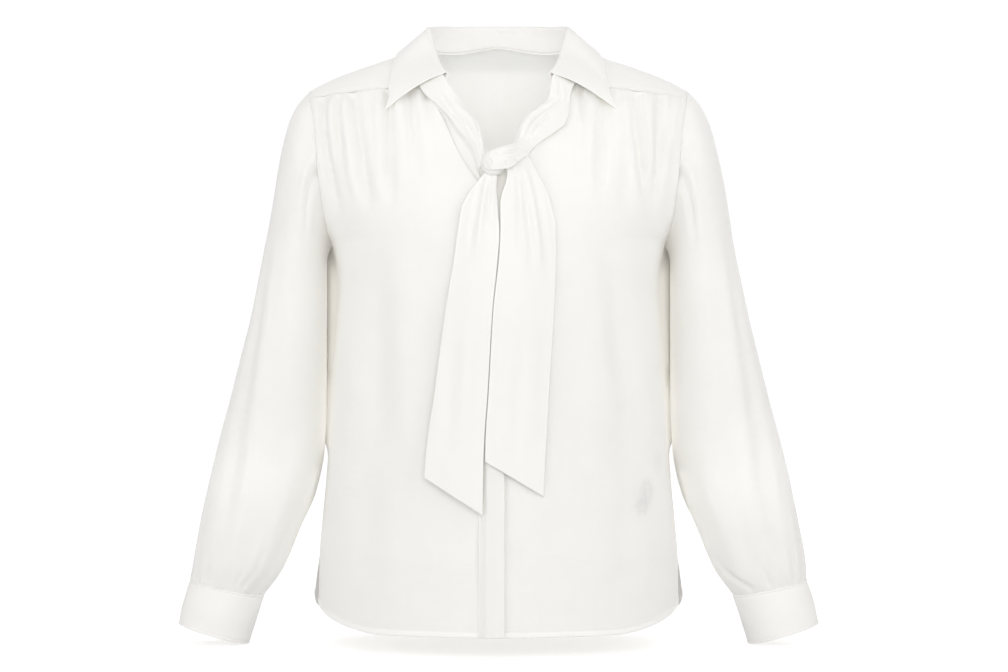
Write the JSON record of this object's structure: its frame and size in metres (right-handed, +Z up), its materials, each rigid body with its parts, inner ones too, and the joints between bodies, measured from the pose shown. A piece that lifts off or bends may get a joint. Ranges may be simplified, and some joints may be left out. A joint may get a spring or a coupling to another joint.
{
  "type": "tie-neck button-up blouse",
  "caption": "Hollow worn long-sleeved blouse with a pointed collar, knotted neck tie, gathered front yoke, concealed placket, bishop sleeves and curved hem.",
  "frame": {"origin": "midway between the shoulders at the level of the neck points, where the wearer's shoulders and neck hold it", "axes": "+X towards the wearer's left, -Y out of the front, +Z up"},
  "size_m": [0.705, 0.2644, 0.687],
  "materials": {
    "front_right": "matte off-white crepe",
    "front_left": "matte off-white crepe",
    "placket": "matte off-white crepe",
    "back": "matte off-white crepe",
    "yoke": "matte off-white crepe",
    "collar": "matte off-white crepe",
    "tie_band_right": "matte off-white crepe",
    "tie_band_left": "matte off-white crepe",
    "tie_knot": "matte off-white crepe",
    "tie_wrap": "matte off-white crepe",
    "tie_tail_right": "matte off-white crepe",
    "tie_tail_left": "matte off-white crepe",
    "sleeve_right": "matte off-white crepe",
    "sleeve_left": "matte off-white crepe",
    "cuff_right": "matte off-white crepe",
    "cuff_left": "matte off-white crepe",
    "front_button_1": "satin off-white",
    "front_button_2": "satin off-white",
    "front_button_3": "satin off-white",
    "front_button_4": "satin off-white",
    "front_button_5": "satin off-white",
    "cuff_button_right": "satin off-white",
    "cuff_button_left": "satin off-white"
  },
  "bodies": {
    "root": {"front_right": "front_right", "front_left": "front_left", "placket": "placket", "back": "back", "yoke": "yoke", "collar": "collar", "tie_band_right": "tie_band_right", "tie_band_left": "tie_band_left", "tie_knot": "tie_knot", "tie_wrap": "tie_wrap", "tie_tail_right": "tie_tail_right", "tie_tail_left": "tie_tail_left", "sleeve_right": "sleeve_right", "sleeve_left": "sleeve_left", "cuff_right": "cuff_right", "cuff_left": "cuff_left", "front_button_1": "front_button_1", "front_button_2": "front_button_2", "front_button_3": "front_button_3", "front_button_4": "front_button_4", "front_button_5": "front_button_5", "cuff_button_right": "cuff_button_right", "cuff_button_left": "cuff_button_left"}
  },
  "joints": []
}
